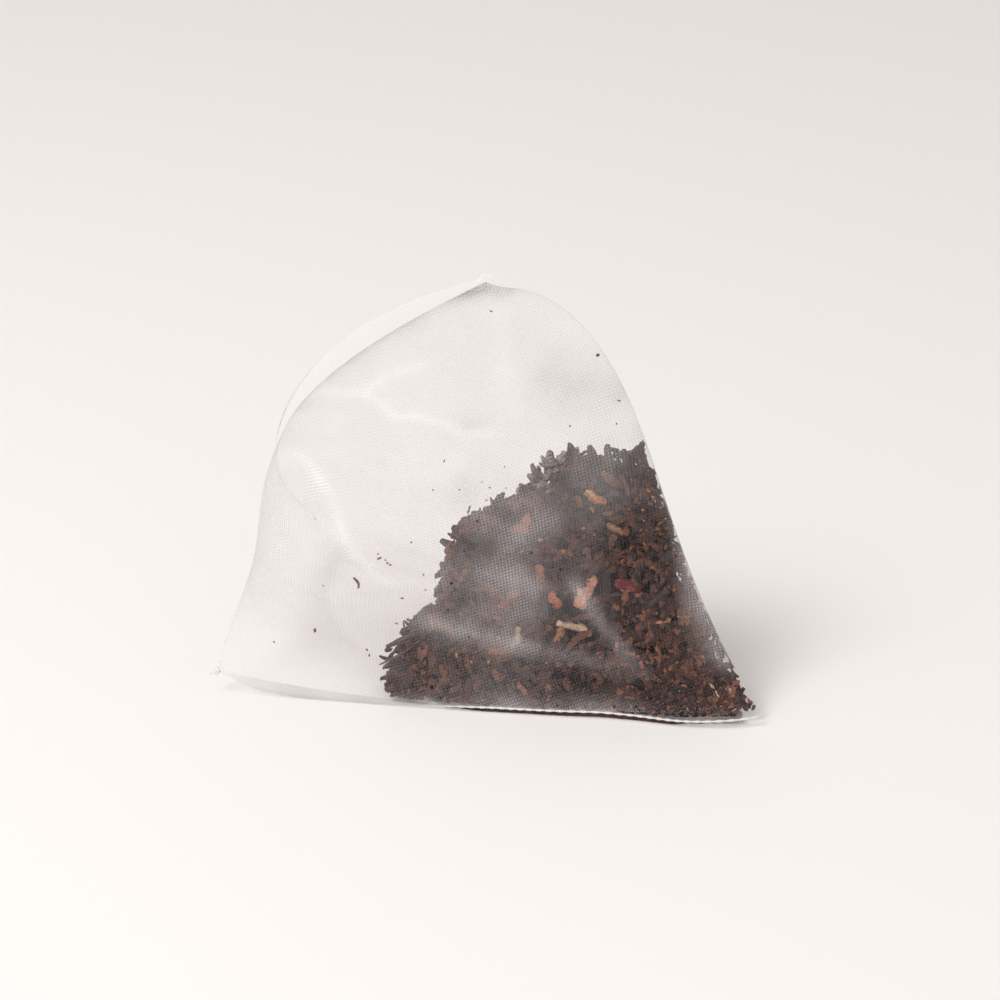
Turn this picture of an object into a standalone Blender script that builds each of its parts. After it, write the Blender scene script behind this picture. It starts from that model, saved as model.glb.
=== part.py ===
"""Pyramid tea bag: a sheer woven mesh tetrahedron with loose tea in its right-hand corner.

The bag is one tube of mesh, fused flat across at its two ends, the second fused end at a right angle
to the first. It rests on its floor face, slack and a little slumped, and the empty left side stands free.
Metres, +Z up, the first fused end along X at the front, the origin on the table under the middle of the bag.
"""
import math
import random

import bmesh
import bpy
import numpy as np
from mathutils import Matrix, Vector

# Driving sizes of the bag
SEAL_LENGTH = 0.057      # each fused end, half the way round the tube
APEX_HEIGHT = 0.04255    # height of the second seal's top corner
WALL = 0.0003            # the mesh wall
FIN_WIDTH = 0.0015       # how far a fused fin stands out of the bag
FIN_THICKNESS = 0.0005   # two walls fused together
LEFT_LIFT = 0.00215      # the empty left corner stands off the table
RIGHT_LIFT = 0.0009      # the right corner curls up a little

# Form of the second seal, a bowed curve: X and Y in seal lengths, Z in apex heights
SEAL_TWO_TOP = (-0.032, 0.215, 1.0)
SEAL_TWO_BOW = (-0.214, 0.281, 0.841)
SEAL_TWO_BACK = (-0.599, 0.302, 0.529)
SEAL_TWO_FOOT = (-0.443, 0.668, 0.093)

# Form of the sections between the two seals
LEFT_TAPER = 1.01        # how the width left of the middle dies away towards the second seal
RIGHT_TAPER = 0.42
FRONT_SWELL = 1.48       # how the depth in front of the middle grows away from the first seal
REAR_SWELL = 1.32
LEFT_WAIST = 0.16
RIGHT_WAIST = 0.10
LEFT_SQUARE = (2.07, 2.09)    # section exponents at the first and at the second seal
RIGHT_SQUARE = (1.9, 1.97)
SHOULDER = 0.31          # how far the right shoulder stands up, in half widths
MIDDLE_SHIFT = (0.0025, 0.0004, 0.0015)    # how far the middle of the tube leans
BASE_SAG = 0.0030        # how far the underside settles on the table
FRONT_BOW = 0.0006       # how far the first seal bows forward at its middle

# Openings of the weave, drawn large in the front panel
GAP_SIZE = 0.0008
GAP_COLUMNS = range(24, 36)
GAP_ROWS = range(5, 15)

# The heap of tea
TEA_CLEARANCE = 0.0005
HEAP_REACH = 0.0423      # from the right corner to the heap's foot
HEAP_SLOPE = 53.0        # steepness of the free slope, in degrees
HEAP_TURN = 14.0         # how far the slope faces to the back, in degrees
HEAP_HEIGHT = 0.0268     # the flat top of the heap
LEAF_LUMP = 0.0008       # how deep the hollows between leaves go
LEAF_PITCH = 0.0019      # spacing of the lumps on the slope

# Larger pieces in the heap, each given from end to end on the skin as (angle in degrees, share of the way
# from the first seal to the second): name, start, end, radius, how much deeper the end lies, slot
PIECES = (
    ("petal_gold", (288, 0.248), (295, 0.230), 0.00045, 0.0, "petal"),
    ("petal_orange_upper", (273, 0.226), (268, 0.206), 0.00055, 0.0, "petal"),
    ("petal_orange_middle", (278, 0.162), (278, 0.136), 0.00050, 0.0, "petal"),
    ("petal_orange_lower", (283, 0.130), (284, 0.110), 0.00050, 0.0, "petal"),
    ("petal_peach", (294, 0.142), (289, 0.112), 0.00085, 0.0, "petal"),
    ("petal_red", (299, 0.138), (307, 0.126), 0.00075, 0.0, "red_petal"),
    ("petal_amber", (307, 0.088), (307, 0.068), 0.00055, 0.0, "petal"),
    ("petal_white", (313, 0.086), (312, 0.066), 0.00055, 0.0, "petal"),
    ("stalk_cream", (285, 0.096), (294, 0.082), 0.00050, 0.0, "stalk"),
    ("stalk_pale", (276, 0.092), (275, 0.068), 0.00055, 0.0, "stalk"),
    ("stalk_upper", (296, 0.206), (301, 0.190), 0.00040, 0.0, "stalk"),
    ("curled_leaf", (320, 0.100), (325, 0.074), 0.00050, 0.0003, "stalk"),
    ("leaf_rod_peak", (282, 0.318), (284, 0.268), 0.00042, 0.0012, "tea"),
    ("leaf_rod_shoulder", (273, 0.264), (279, 0.234), 0.00050, 0.0010, "tea"),
    ("leaf_rod_foot", (246, 0.062), (256, 0.084), 0.00035, 0.0004, "tea"),
    ("leaf_rod_flank", (256, 0.200), (266, 0.182), 0.00045, 0.0008, "tea"),
    ("leaf_rod_crown_left", (289, 0.312), (290, 0.262), 0.00050, 0.0010, "tea"),
    ("leaf_rod_crown_middle", (296, 0.310), (296, 0.260), 0.00055, 0.0012, "tea"),
    ("leaf_rod_crown_right", (303, 0.304), (303, 0.258), 0.00050, 0.0010, "tea"),
)

# How far the heap reaches, as shares of the way from the first seal to the second
HEAP_SPAN = (0.065, 0.60)

# Mesh fineness
AROUND = 40
ALONG = 22
TEA_AROUND = 64
TEA_ALONG = 30
ROD_SIDES = 6
ROD_RINGS = 5
WELD = 0.000001


def second_seal(r):
    """The second seal: a cubic curve from its top corner at r = -1 to its foot at r = 1."""
    w = (np.asarray(r, float)[..., None] + 1.0) / 2.0
    size = np.array((SEAL_LENGTH, SEAL_LENGTH, APEX_HEIGHT))
    form = (SEAL_TWO_TOP, SEAL_TWO_BOW, SEAL_TWO_BACK, SEAL_TWO_FOOT)
    top, bow, back, foot = (np.array(corner) * size for corner in form)
    return top * (1 - w) ** 3 + 3 * bow * w * (1 - w) ** 2 + 3 * back * w ** 2 * (1 - w) + foot * w ** 3


def signed_power(value, exponent):
    """A power that keeps the sign, which squares off a circle's sine and cosine."""
    return np.sign(value) * np.abs(value) ** exponent


def section_axes(angle, t):
    """How far across and how deep a point lies in its section, each from -1 to 1."""
    across, deep = np.cos(angle), np.sin(angle)
    square = np.where(across < 0, LEFT_SQUARE[0] + (LEFT_SQUARE[1] - LEFT_SQUARE[0]) * t ** 2,
                      RIGHT_SQUARE[0] + (RIGHT_SQUARE[1] - RIGHT_SQUARE[0]) * t ** 2)
    return signed_power(across, 2 / square), signed_power(deep, 2 / square)


def skin(angle, t, shrink=0.0):
    """A point of the bag's outside, or of a surface shrunk by some depth inside it.

    t runs from the first seal, 0, to the second, 1. Each section is a closed curve round the angle. Its
    width follows the first seal and dies away with t, and its depth follows the second seal and grows.
    """
    angle, t, shrink = np.broadcast_arrays(np.asarray(angle, float), np.asarray(t, float), np.asarray(shrink, float))
    half = SEAL_LENGTH / 2
    across, deep = section_axes(angle, t)
    left = across < 0
    fade = np.maximum(np.cos(math.pi / 2 * t), 0.0)
    bulge = np.sin(math.pi * t)
    width = fade ** np.where(left, LEFT_TAPER, RIGHT_TAPER) * (1 - np.where(left, LEFT_WAIST, RIGHT_WAIST) * bulge)
    width = np.maximum(width - shrink / half, 0.0)
    depth = np.sin(math.pi / 2 * t) ** np.where(deep < 0, FRONT_SWELL, REAR_SWELL)
    depth = np.maximum(depth - shrink / half, 0.0)
    lift = np.where(left, LEFT_LIFT, RIGHT_LIFT) * across ** 2
    shoulder = 2 * SHOULDER * t * (1 - t ** 8) * half * np.maximum(across, 0) * np.maximum(-deep, 0)
    middle = second_seal(0.0)
    point = middle * t[..., None] + depth[..., None] * (second_seal(deep) - middle)
    point += bulge[..., None] * np.array(MIDDLE_SHIFT)
    point[..., 2] -= bulge * BASE_SAG * (1 + deep) / 2
    point[..., 0] += width * half * across
    point[..., 1] -= width * FRONT_BOW * (1 - across ** 2)
    point[..., 2] += fade * FIN_THICKNESS / 2 + width * (lift + shoulder)
    point[..., 2] = np.maximum(point[..., 2], shrink)
    return point


def skin_normal(angle, t):
    """The way out of the skin at a point."""
    step = 0.002
    around = skin(angle + step, t) - skin(angle - step, t)
    onward = skin(angle, t + step) - skin(angle, t - step)
    normal = np.cross(around, onward)
    return normal / (np.linalg.norm(normal, axis=-1, keepdims=True) + 1e-15)


def shrink_for(angle, t, depth):
    """How much to shrink the sections so that the new surface lies a given depth under the skin."""
    step = 0.0002
    inner_t = np.clip(t, 0.03, 0.97)
    moved = (skin(angle, inner_t) - skin(angle, inner_t, step)) / step
    share = np.abs((moved * skin_normal(angle, inner_t)).sum(-1))
    return depth / np.clip(share, 0.35, 1.0)


def seal_frames(r):
    """Along the second seal: the way its fin stands out, and the way across its two walls."""
    step = 0.01
    tangent = second_seal(r + step) - second_seal(r - step)
    tangent /= np.linalg.norm(tangent, axis=-1, keepdims=True)
    outward = second_seal(r) - second_seal(0.0) / 2
    outward -= (outward * tangent).sum(-1, keepdims=True) * tangent
    outward /= np.linalg.norm(outward, axis=-1, keepdims=True)
    across = np.cross(tangent, outward)
    return outward, across * np.sign(across[..., :1])


def spread(share):
    """From even steps to t: rings crowd together towards the second seal, where the bag closes bluntly."""
    return share * (2 - share)


def outer_rings():
    """The outside as rings of points, from the edge of the first fin to the edge of the second."""
    angle = np.arange(AROUND) / AROUND * 2 * math.pi
    rings = skin(angle[None, :], spread(np.linspace(0, 1, ALONG + 1))[:, None])
    across, deep = section_axes(angle, 0.0)
    rings[0, :, 2] -= deep * FIN_THICKNESS / 2
    first_edge = rings[0] + np.array((0.0, -FIN_WIDTH, 0.0))
    across, deep = section_axes(angle, 1.0)
    outward, over = seal_frames(deep)
    rings[-1] = second_seal(deep) + over * (across * FIN_THICKNESS / 2)[:, None]
    second_edge = rings[-1] + outward * FIN_WIDTH
    return np.concatenate((first_edge[None], rings, second_edge[None]))


def origin():
    """The point on the table under the middle of the bag's box."""
    corners = outer_rings().reshape(-1, 3)
    low, high = corners.min(axis=0), corners.max(axis=0)
    return np.array(((low[0] + high[0]) / 2, (low[1] + high[1]) / 2, low[2]))


ORIGIN = origin()


def new_material(slot, colour, roughness):
    """A plain finish for one sub-part."""
    material = bpy.data.materials.new(slot)
    material.use_nodes = True
    shader = material.node_tree.nodes["Principled BSDF"]
    shader.inputs["Base Color"].default_value = (*colour, 1.0)
    shader.inputs["Roughness"].default_value = roughness
    shader.inputs["Metallic"].default_value = 0.0
    return material


def add_object(name, mesh, collection, material=None):
    """Links a mesh under its name, smooth where its faces meet gently."""
    thing = bpy.data.objects.new(name, mesh)
    collection.objects.link(thing)
    if material is not None:
        mesh.materials.append(material)
    mesh.shade_smooth()
    return thing


def mesh_from(name, points, faces):
    """A closed mesh from points and faces: coincident points are welded and the faces point outwards."""
    mesh = bpy.data.meshes.new(name)
    shape = bmesh.new()
    corners = [shape.verts.new(point) for point in np.asarray(points) - ORIGIN]
    for face in faces:
        shape.faces.new([corners[index] for index in face])
    bmesh.ops.remove_doubles(shape, verts=shape.verts, dist=WELD)
    bmesh.ops.recalc_face_normals(shape, faces=shape.faces)
    shape.to_mesh(mesh)
    shape.free()
    return mesh


def ring_faces(start, rings, around, flip=False, skipped=()):
    """The quads between rings of points that start at one index, without those that are skipped."""
    faces = []
    for row in range(rings - 1):
        for column in range(around):
            if (row, column) in skipped:
                continue
            after = (column + 1) % around
            low, high = start + row * around, start + (row + 1) * around
            face = (low + column, low + after, high + after, high + column)
            faces.append(face[::-1] if flip else face)
    return faces


def closing_faces(start, around, turn, flip=False):
    """Closes a thin ring: each point on one side is joined to the one across from it."""
    faces = []
    for column in range(around // 2):
        first = (turn + column) % around
        second = (turn + column + 1) % around
        face = [first, second, (turn - column - 1) % around, (turn - column) % around]
        face = [start + index for index in dict.fromkeys(face)]
        faces.append(tuple(face[::-1] if flip else face))
    return faces


def gap_corners(corners):
    """A square opening in the middle of a quad, as far from each side of the quad as its size asks."""
    middle = corners.mean(axis=0)
    along_u = (corners[1] + corners[2] - corners[0] - corners[3]) / 2
    along_v = (corners[2] + corners[3] - corners[0] - corners[1]) / 2
    half_u = along_u / np.linalg.norm(along_u) * GAP_SIZE / 2
    half_v = along_v / np.linalg.norm(along_v) * GAP_SIZE / 2
    return np.array((middle - half_u - half_v, middle + half_u - half_v, middle + half_u + half_v, middle - half_u + half_v))


def mesh_bag(collection, material):
    """The bag: an outer and an inner skin, joined through the rows of small openings in the front panel."""
    outer = outer_rings()
    angle = np.arange(AROUND) / AROUND * 2 * math.pi
    t = spread(np.arange(1, ALONG - 4) / ALONG)[:, None]
    inner = skin(angle[None, :], t, shrink_for(angle[None, :], t, WALL))
    points = [outer.reshape(-1, 3), inner.reshape(-1, 3)]
    inner_start = len(points[0])
    count = inner_start + len(points[1])
    gaps = {(row, column) for row in GAP_ROWS for column in GAP_COLUMNS}
    faces = ring_faces(0, len(outer), AROUND, skipped={(row + 1, column) for row, column in gaps})
    faces += ring_faces(inner_start, len(inner), AROUND, flip=True, skipped={(row - 1, column) for row, column in gaps})
    faces += closing_faces(0, AROUND, 0)
    faces += closing_faces(inner_start, AROUND, 0, flip=True)
    faces += closing_faces(inner_start - AROUND, AROUND, AROUND // 4, flip=True)
    faces += closing_faces(count - AROUND, AROUND, AROUND // 4)
    for row, column in sorted(gaps):
        after = (column + 1) % AROUND
        mouths = []
        for start, rings, ring in ((0, outer, row + 1), (inner_start, inner, row - 1)):
            corners = np.array((rings[ring, column], rings[ring, after], rings[ring + 1, after], rings[ring + 1, column]))
            rim = [start + ring * AROUND + column, start + ring * AROUND + after,
                   start + (ring + 1) * AROUND + after, start + (ring + 1) * AROUND + column]
            mouth = list(range(count, count + 4))
            points.append(gap_corners(corners))
            count += 4
            for side in range(4):
                following = (side + 1) % 4
                face = (rim[side], rim[following], mouth[following], mouth[side])
                faces.append(face if start == 0 else face[::-1])
            mouths.append(mouth)
        for side in range(4):
            following = (side + 1) % 4
            faces.append((mouths[0][side], mouths[0][following], mouths[1][following], mouths[1][side]))
    return add_object("mesh_bag", mesh_from("mesh_bag", np.concatenate(points), faces), collection, material)


def slope_axes():
    """The heap's free slope: a point at its foot, and the ways along, up and out of it."""
    slope, turn = math.radians(HEAP_SLOPE), math.radians(HEAP_TURN)
    level = np.array((-math.cos(turn), math.sin(turn), 0.0))
    out = level * math.sin(slope) + np.array((0.0, 0.0, math.cos(slope)))
    along = np.array((math.sin(turn), math.cos(turn), 0.0))
    foot = np.array((SEAL_LENGTH / 2 - HEAP_REACH, 0.0, 0.0))
    return foot, along, np.cross(out, along), out


def slab_above(name, point, along, up, out, lump, collection):
    """A cutter: a lumpy sheet through a point, carried outwards, so that it takes away all that lies above."""
    reach = SEAL_LENGTH
    cells = int(2 * reach / LEAF_PITCH)
    mesh = bpy.data.meshes.new(name)
    shape = bmesh.new()
    bmesh.ops.create_grid(shape, x_segments=cells, y_segments=cells, size=reach)
    generator = random.Random(11)
    for corner in shape.verts:
        corner.co.z = -lump * generator.random()
    top = bmesh.ops.extrude_face_region(shape, geom=shape.faces[:])
    raised = [item for item in top["geom"] if isinstance(item, bmesh.types.BMVert)]
    for corner in raised:
        corner.co.z = reach
    bmesh.ops.recalc_face_normals(shape, faces=shape.faces)
    axes = Matrix((along, up, out)).transposed().to_4x4()
    shape.transform(Matrix.Translation(Vector(point - ORIGIN)) @ axes)
    shape.to_mesh(mesh)
    shape.free()
    return cutter(name, mesh, collection)


def cutter(name, mesh, collection):
    """An object that only shapes others."""
    thing = bpy.data.objects.new(name, mesh)
    collection.objects.link(thing)
    thing.hide_render = True
    thing.display_type = "WIRE"
    return thing


def cut(target, tool):
    """Takes the cutter out of the target."""
    boolean = target.modifiers.new(tool.name, "BOOLEAN")
    boolean.operation = "DIFFERENCE"
    boolean.solver = "EXACT"
    boolean.object = tool


def tea_leaves(collection, cutters, material):
    """The heap: the room inside the bag, pitted between the leaves, with all above its slope and top cut away."""
    angle = np.arange(TEA_AROUND)[None, :] / TEA_AROUND * 2 * math.pi
    t = spread(np.linspace(*HEAP_SPAN, TEA_ALONG + 1))[:, None]
    pits = np.random.default_rng(5).random((TEA_ALONG + 1, TEA_AROUND)) * LEAF_LUMP
    pits[:3] = 0
    rings = skin(angle, t, shrink_for(angle, t, WALL + TEA_CLEARANCE) + pits)
    faces = ring_faces(0, TEA_ALONG + 1, TEA_AROUND)
    faces += closing_faces(0, TEA_AROUND, 0)
    faces += closing_faces(TEA_ALONG * TEA_AROUND, TEA_AROUND, TEA_AROUND // 4)
    heap = add_object("tea_leaves", mesh_from("tea_leaves", rings.reshape(-1, 3), faces), collection, material)
    foot, along, up, out = slope_axes()
    cut(heap, slab_above("slope_cutter", foot, along, up, out, LEAF_LUMP, cutters))
    top = np.array((0.0, 0.0, HEAP_HEIGHT))
    cut(heap, slab_above("top_cutter", top, np.array((1.0, 0, 0)), np.array((0, 1.0, 0)), np.array((0, 0, 1.0)), LEAF_LUMP, cutters))
    return heap


def rod_path(start, end, radius, sink, spare=0.0):
    """The middle line of a piece that lies against the inside of the skin and sinks into the heap at its end."""
    share = np.linspace(0, 1, ROD_RINGS)
    angle = np.radians(start[0] + (end[0] - start[0]) * share)
    t = spread(start[1] + (end[1] - start[1]) * share)
    depth = WALL + TEA_CLEARANCE + radius + sink * share
    path = skin(angle, t) - skin_normal(angle, t) * depth[:, None]
    ends = path[-1] - path[0]
    ends *= spare / np.linalg.norm(ends)
    path[0] -= ends
    path[-1] += ends
    return path


def rod_mesh(name, path, radius, swell):
    """A rolled piece: rings carried along a path, full in the middle and drawn in at both ends."""
    tangent = np.gradient(path, axis=0)
    tangent /= np.linalg.norm(tangent, axis=1, keepdims=True)
    side = np.cross(tangent, np.array((0.3, 1.0, 0.2)))
    side /= np.linalg.norm(side, axis=1, keepdims=True)
    other = np.cross(tangent, side)
    angle = np.arange(ROD_SIDES) / ROD_SIDES * 2 * math.pi
    fullness = 1 - swell * np.abs(np.linspace(-1, 1, len(path))) ** 3
    rings = path[:, None, :] + (radius * fullness)[:, None, None] * (
        np.cos(angle)[None, :, None] * side[:, None, :] + np.sin(angle)[None, :, None] * other[:, None, :])
    faces = ring_faces(0, len(path), ROD_SIDES)
    last = (len(path) - 1) * ROD_SIDES
    faces.append(tuple(range(ROD_SIDES))[::-1])
    faces.append(tuple(range(last, last + ROD_SIDES)))
    return mesh_from(name, rings.reshape(-1, 3), faces)


def piece(heap, name, start, end, radius, sink, material, collection, cutters):
    """One larger piece in its own socket in the heap."""
    path = rod_path(start, end, radius, sink)
    add_object(name, rod_mesh(name, path, radius, 0.45), collection, material)
    room = rod_path(start, end, radius, sink, spare=TEA_CLEARANCE)
    socket = cutter(name + "_socket", rod_mesh(name + "_socket", room, radius + TEA_CLEARANCE, 0.30), cutters)
    cut(heap, socket)


def main():
    """Clears the scene and models the tea bag."""
    for thing in list(bpy.data.objects):
        bpy.data.objects.remove(thing, do_unlink=True)
    parts = bpy.data.collections.new("Pyramid tea bag")
    cutters = bpy.data.collections.new("Cutters")
    bpy.context.scene.collection.children.link(parts)
    bpy.context.scene.collection.children.link(cutters)
    slots = {
        "mesh": new_material("mesh", (0.86, 0.85, 0.83), 0.45),
        "tea": new_material("tea", (0.045, 0.024, 0.018), 0.8),
        "petal": new_material("petal", (0.62, 0.25, 0.12), 0.6),
        "red_petal": new_material("red_petal", (0.36, 0.06, 0.07), 0.6),
        "stalk": new_material("stalk", (0.58, 0.42, 0.27), 0.65),
    }
    mesh_bag(parts, slots["mesh"])
    heap = tea_leaves(parts, cutters, slots["tea"])
    for name, start, end, radius, sink, slot in PIECES:
        piece(heap, name, start, end, radius, sink, slots[slot], parts, cutters)


main()
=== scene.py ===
"""Looks of the pyramid tea bag: sheer woven mesh, its fused fins, and the loose tea inside.

Everything is laid out in the bag's own frame, as the part is, and moved by ORIGIN when the meshes are made.
A place on the bag's skin is an angle round its section, with 0 degrees at the right end, 180 at the left and 270
at the front, and an even share of the way from the first seal, on the table, to the second, which spread() turns
into t.
"""
import math
from collections import namedtuple

import bmesh
import bpy
import numpy as np
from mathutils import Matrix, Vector
from mathutils.bvhtree import BVHTree


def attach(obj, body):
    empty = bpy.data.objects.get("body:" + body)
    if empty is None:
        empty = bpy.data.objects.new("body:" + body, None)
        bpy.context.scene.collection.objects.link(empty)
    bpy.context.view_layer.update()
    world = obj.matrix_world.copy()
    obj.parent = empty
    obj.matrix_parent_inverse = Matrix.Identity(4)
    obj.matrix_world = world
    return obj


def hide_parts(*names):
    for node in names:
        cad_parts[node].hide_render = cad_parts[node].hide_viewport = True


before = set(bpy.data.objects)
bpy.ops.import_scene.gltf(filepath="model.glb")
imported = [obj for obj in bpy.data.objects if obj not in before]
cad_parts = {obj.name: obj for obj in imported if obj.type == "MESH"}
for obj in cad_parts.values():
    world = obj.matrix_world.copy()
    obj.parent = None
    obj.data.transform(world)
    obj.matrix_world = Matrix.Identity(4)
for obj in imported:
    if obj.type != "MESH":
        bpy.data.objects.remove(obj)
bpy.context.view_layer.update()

MM = 0.001

# the bag's form, with the part's own values: sizes in metres, the rest shares and powers
SEAL_LENGTH = 0.057
APEX_HEIGHT = 0.04255
LEFT_LIFT = 0.00215
RIGHT_LIFT = 0.0009
FIN_THICKNESS = 0.0005
SEAL_TWO = ((-0.032, 0.215, 1.0), (-0.214, 0.281, 0.841), (-0.599, 0.302, 0.529), (-0.443, 0.668, 0.093))
LEFT_TAPER, RIGHT_TAPER = 1.01, 0.42
FRONT_SWELL, REAR_SWELL = 1.48, 1.32
LEFT_WAIST, RIGHT_WAIST = 0.16, 0.10
LEFT_SQUARE, RIGHT_SQUARE = (2.07, 2.09), (1.9, 1.97)
SHOULDER = 0.31
MIDDLE_SHIFT = np.array((0.0025, 0.0004, 0.0015))
BASE_SAG = 0.0030
FRONT_BOW = 0.0006
ORIGIN = np.array((-0.00004, 0.01837, 0.0))
HEAP_REACH, HEAP_SLOPE, HEAP_TURN, HEAP_HEIGHT = 0.0423, 53.0, 14.0, 0.0268

PITCH = 0.00034          # spacing of the weave's threads
WEAVE_SLANT = 20.0       # the cloth is cut on a slant: its threads climb to the right across the front
CORE_DEPTH = 0.0022      # how far the heap's dark middle stays below its loose leaves
TABLE_GAP = 0.00004      # nothing comes closer to the table than this


# ---- shape -------------------------------------------------------------------------------------------

def second_seal(r):
    """The second seal: a cubic curve from its top corner at r = -1 to its foot at r = 1."""
    w = (np.asarray(r, float)[..., None] + 1.0) / 2.0
    top, bow, back, foot = (np.array(c) * (SEAL_LENGTH, SEAL_LENGTH, APEX_HEIGHT) for c in SEAL_TWO)
    return top * (1 - w) ** 3 + 3 * bow * w * (1 - w) ** 2 + 3 * back * w ** 2 * (1 - w) + foot * w ** 3


def signed_power(value, exponent):
    """A power that keeps the sign, which squares off a circle's sine and cosine."""
    return np.sign(value) * np.abs(value) ** exponent


def skin(angle, t):
    """The bag's outside at an angle round its section and a place t from the first seal to the second.

    The width of a section follows the first seal and dies away with t; its depth follows the second seal
    and grows. The underside is pressed flat on the table.
    """
    angle, t = np.broadcast_arrays(np.asarray(angle, float), np.asarray(t, float))
    half = SEAL_LENGTH / 2
    across, deep = np.cos(angle), np.sin(angle)
    left = across < 0
    square = np.where(left, LEFT_SQUARE[0] + (LEFT_SQUARE[1] - LEFT_SQUARE[0]) * t ** 2,
                      RIGHT_SQUARE[0] + (RIGHT_SQUARE[1] - RIGHT_SQUARE[0]) * t ** 2)
    across, deep = signed_power(across, 2 / square), signed_power(deep, 2 / square)
    fade = np.maximum(np.cos(math.pi / 2 * t), 0.0)
    bulge = np.sin(math.pi * t)
    width = fade ** np.where(left, LEFT_TAPER, RIGHT_TAPER) * (1 - np.where(left, LEFT_WAIST, RIGHT_WAIST) * bulge)
    depth = np.sin(math.pi / 2 * t) ** np.where(deep < 0, FRONT_SWELL, REAR_SWELL)
    lift = np.where(left, LEFT_LIFT, RIGHT_LIFT) * across ** 2
    shoulder = 2 * SHOULDER * t * (1 - t ** 30) * half * np.maximum(across, 0) * np.maximum(-deep, 0)
    middle = second_seal(0.0)
    point = middle * t[..., None] + depth[..., None] * (second_seal(deep) - middle)
    point += bulge[..., None] * MIDDLE_SHIFT
    point[..., 2] -= bulge * BASE_SAG * (1 + deep) / 2
    point[..., 0] += width * half * across
    point[..., 1] -= width * FRONT_BOW * (1 - across ** 2)
    point[..., 2] += fade * FIN_THICKNESS / 2 + width * (lift + shoulder)
    point[..., 2] = np.maximum(point[..., 2], 0.0)
    return point


def skin_normal(angle, t):
    """The way out of the skin at a point, from small steps round and along it."""
    step = 0.002
    around = skin(angle + step, t) - skin(angle - step, t)
    onward = skin(angle, t + step) - skin(angle, t - step)
    return unit(np.cross(around, onward))


def spread(share):
    """From even steps to t: rings crowd together towards the second seal."""
    return share * (2 - share)


def between(start, end, share):
    """Angles in radians, and t, a share of the way from one place on the skin to another."""
    return np.radians(start[0] + (end[0] - start[0]) * share), spread(start[1] + (end[1] - start[1]) * share)


def middle_line(t):
    """The middle of the section at each t."""
    return second_seal(0.0) * t[..., None] + np.sin(math.pi * t)[..., None] * MIDDLE_SHIFT


def raised_middle(t):
    """The middle of the section at each t, but nowhere lower than 0.4 mm above the table."""
    middle = middle_line(t)
    middle[..., 2] = np.maximum(middle[..., 2], 0.4 * MM)
    return middle


# ---- small tools -------------------------------------------------------------------------------------

def unit(v):
    """Vectors at length one."""
    return v / (np.linalg.norm(v, axis=-1, keepdims=True) + 1e-15)


def rise(value, start, end):
    """A soft rise from 0 to 1 as the value goes from start to end, which may lie below start."""
    x = np.clip((value - start) / (end - start), 0, 1)
    return x * x * (3 - 2 * x)


def srgb(text):
    """A hex colour as the linear values that a shader takes."""
    value = np.array([int(text[i:i + 2], 16) / 255 for i in (1, 3, 5)])
    return tuple(np.where(value <= 0.04045, value / 12.92, ((value + 0.055) / 1.055) ** 2.4)) + (1.0,)


def add(tree, kind, links=None, stops=(), **settings):
    """Adds a node with its settings.

    links gives what feeds each input: another node, by its first output, one of a node's outputs, or a value.
    stops gives a colour ramp's places and colours.
    """
    node = tree.nodes.new(kind)
    for name, value in settings.items():
        setattr(node, name, value)
    for index, (place, colour) in enumerate(stops):
        elements = node.color_ramp.elements
        stop = elements[index] if index < len(elements) else elements.new(place)
        stop.position, stop.color = place, srgb(colour)
    for name, value in (links or {}).items():
        if isinstance(value, bpy.types.Node):
            value = value.outputs[0]
        if isinstance(value, bpy.types.NodeSocket):
            tree.links.new(value, node.inputs[name])
        else:
            node.inputs[name].default_value = value
    return node


def new_material(name):
    """An empty material and its tree."""
    material = bpy.data.materials.new(name)
    material.use_nodes = True
    material.node_tree.nodes.clear()
    return material, material.node_tree


def new_object(name, points, faces, material, smooth=True):
    """A mesh object from an array of points and an array or list of faces, moved to the part's frame."""
    mesh = bpy.data.meshes.new(name)
    faces = faces.tolist() if isinstance(faces, np.ndarray) else faces
    mesh.from_pydata((np.asarray(points).reshape(-1, 3) - ORIGIN).tolist(), [], faces)
    mesh.update()
    if smooth:
        mesh.shade_smooth()
    mesh.materials.append(material)
    thing = bpy.data.objects.new(name, mesh)
    bpy.context.scene.collection.objects.link(thing)
    return thing


def set_attribute(thing, name, values, kind="FLOAT"):
    """Stores a number or a colour at each point."""
    layer = thing.data.attributes.new(name, kind, "POINT")
    key = "value" if kind == "FLOAT" else "color"
    layer.data.foreach_set(key, np.asarray(values, np.float32).ravel())


def lay_weave(thing, uv, dense, tone):
    """Gives each point its place in the weave, in threads, how much the threads cover there, and their tone."""
    layer = thing.data.uv_layers.new(name="weave")
    index = np.empty(len(thing.data.loops), np.int32)
    thing.data.loops.foreach_get("vertex_index", index)
    layer.data.foreach_set("uv", uv.reshape(-1, 2)[index].astype(np.float32).ravel())
    set_attribute(thing, "dense", np.broadcast_to(dense, uv.shape[:-1]))
    set_attribute(thing, "tone", np.broadcast_to(tone, uv.shape[:-1]))


def paint(thing, colours):
    """Stores leaf colours: one for each point, or one for each piece of a mesh of many alike."""
    colours = colours.reshape(-1, 4)
    shade = np.repeat(colours, len(thing.data.vertices) // len(colours), axis=0)
    shade[:, 3] = 1.0
    set_attribute(thing, "leaf", shade, "FLOAT_COLOR")


def grid_faces(rows, columns, closed=False):
    """Quads between the rows of a grid of points; a closed grid's last column meets its first."""
    row, column = np.meshgrid(np.arange(rows - 1), np.arange(columns if closed else columns - 1), indexing="ij")
    after = (column + 1) % columns
    return np.stack((row * columns + column, row * columns + after, (row + 1) * columns + after,
                     (row + 1) * columns + column), -1).reshape(-1, 4)


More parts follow.
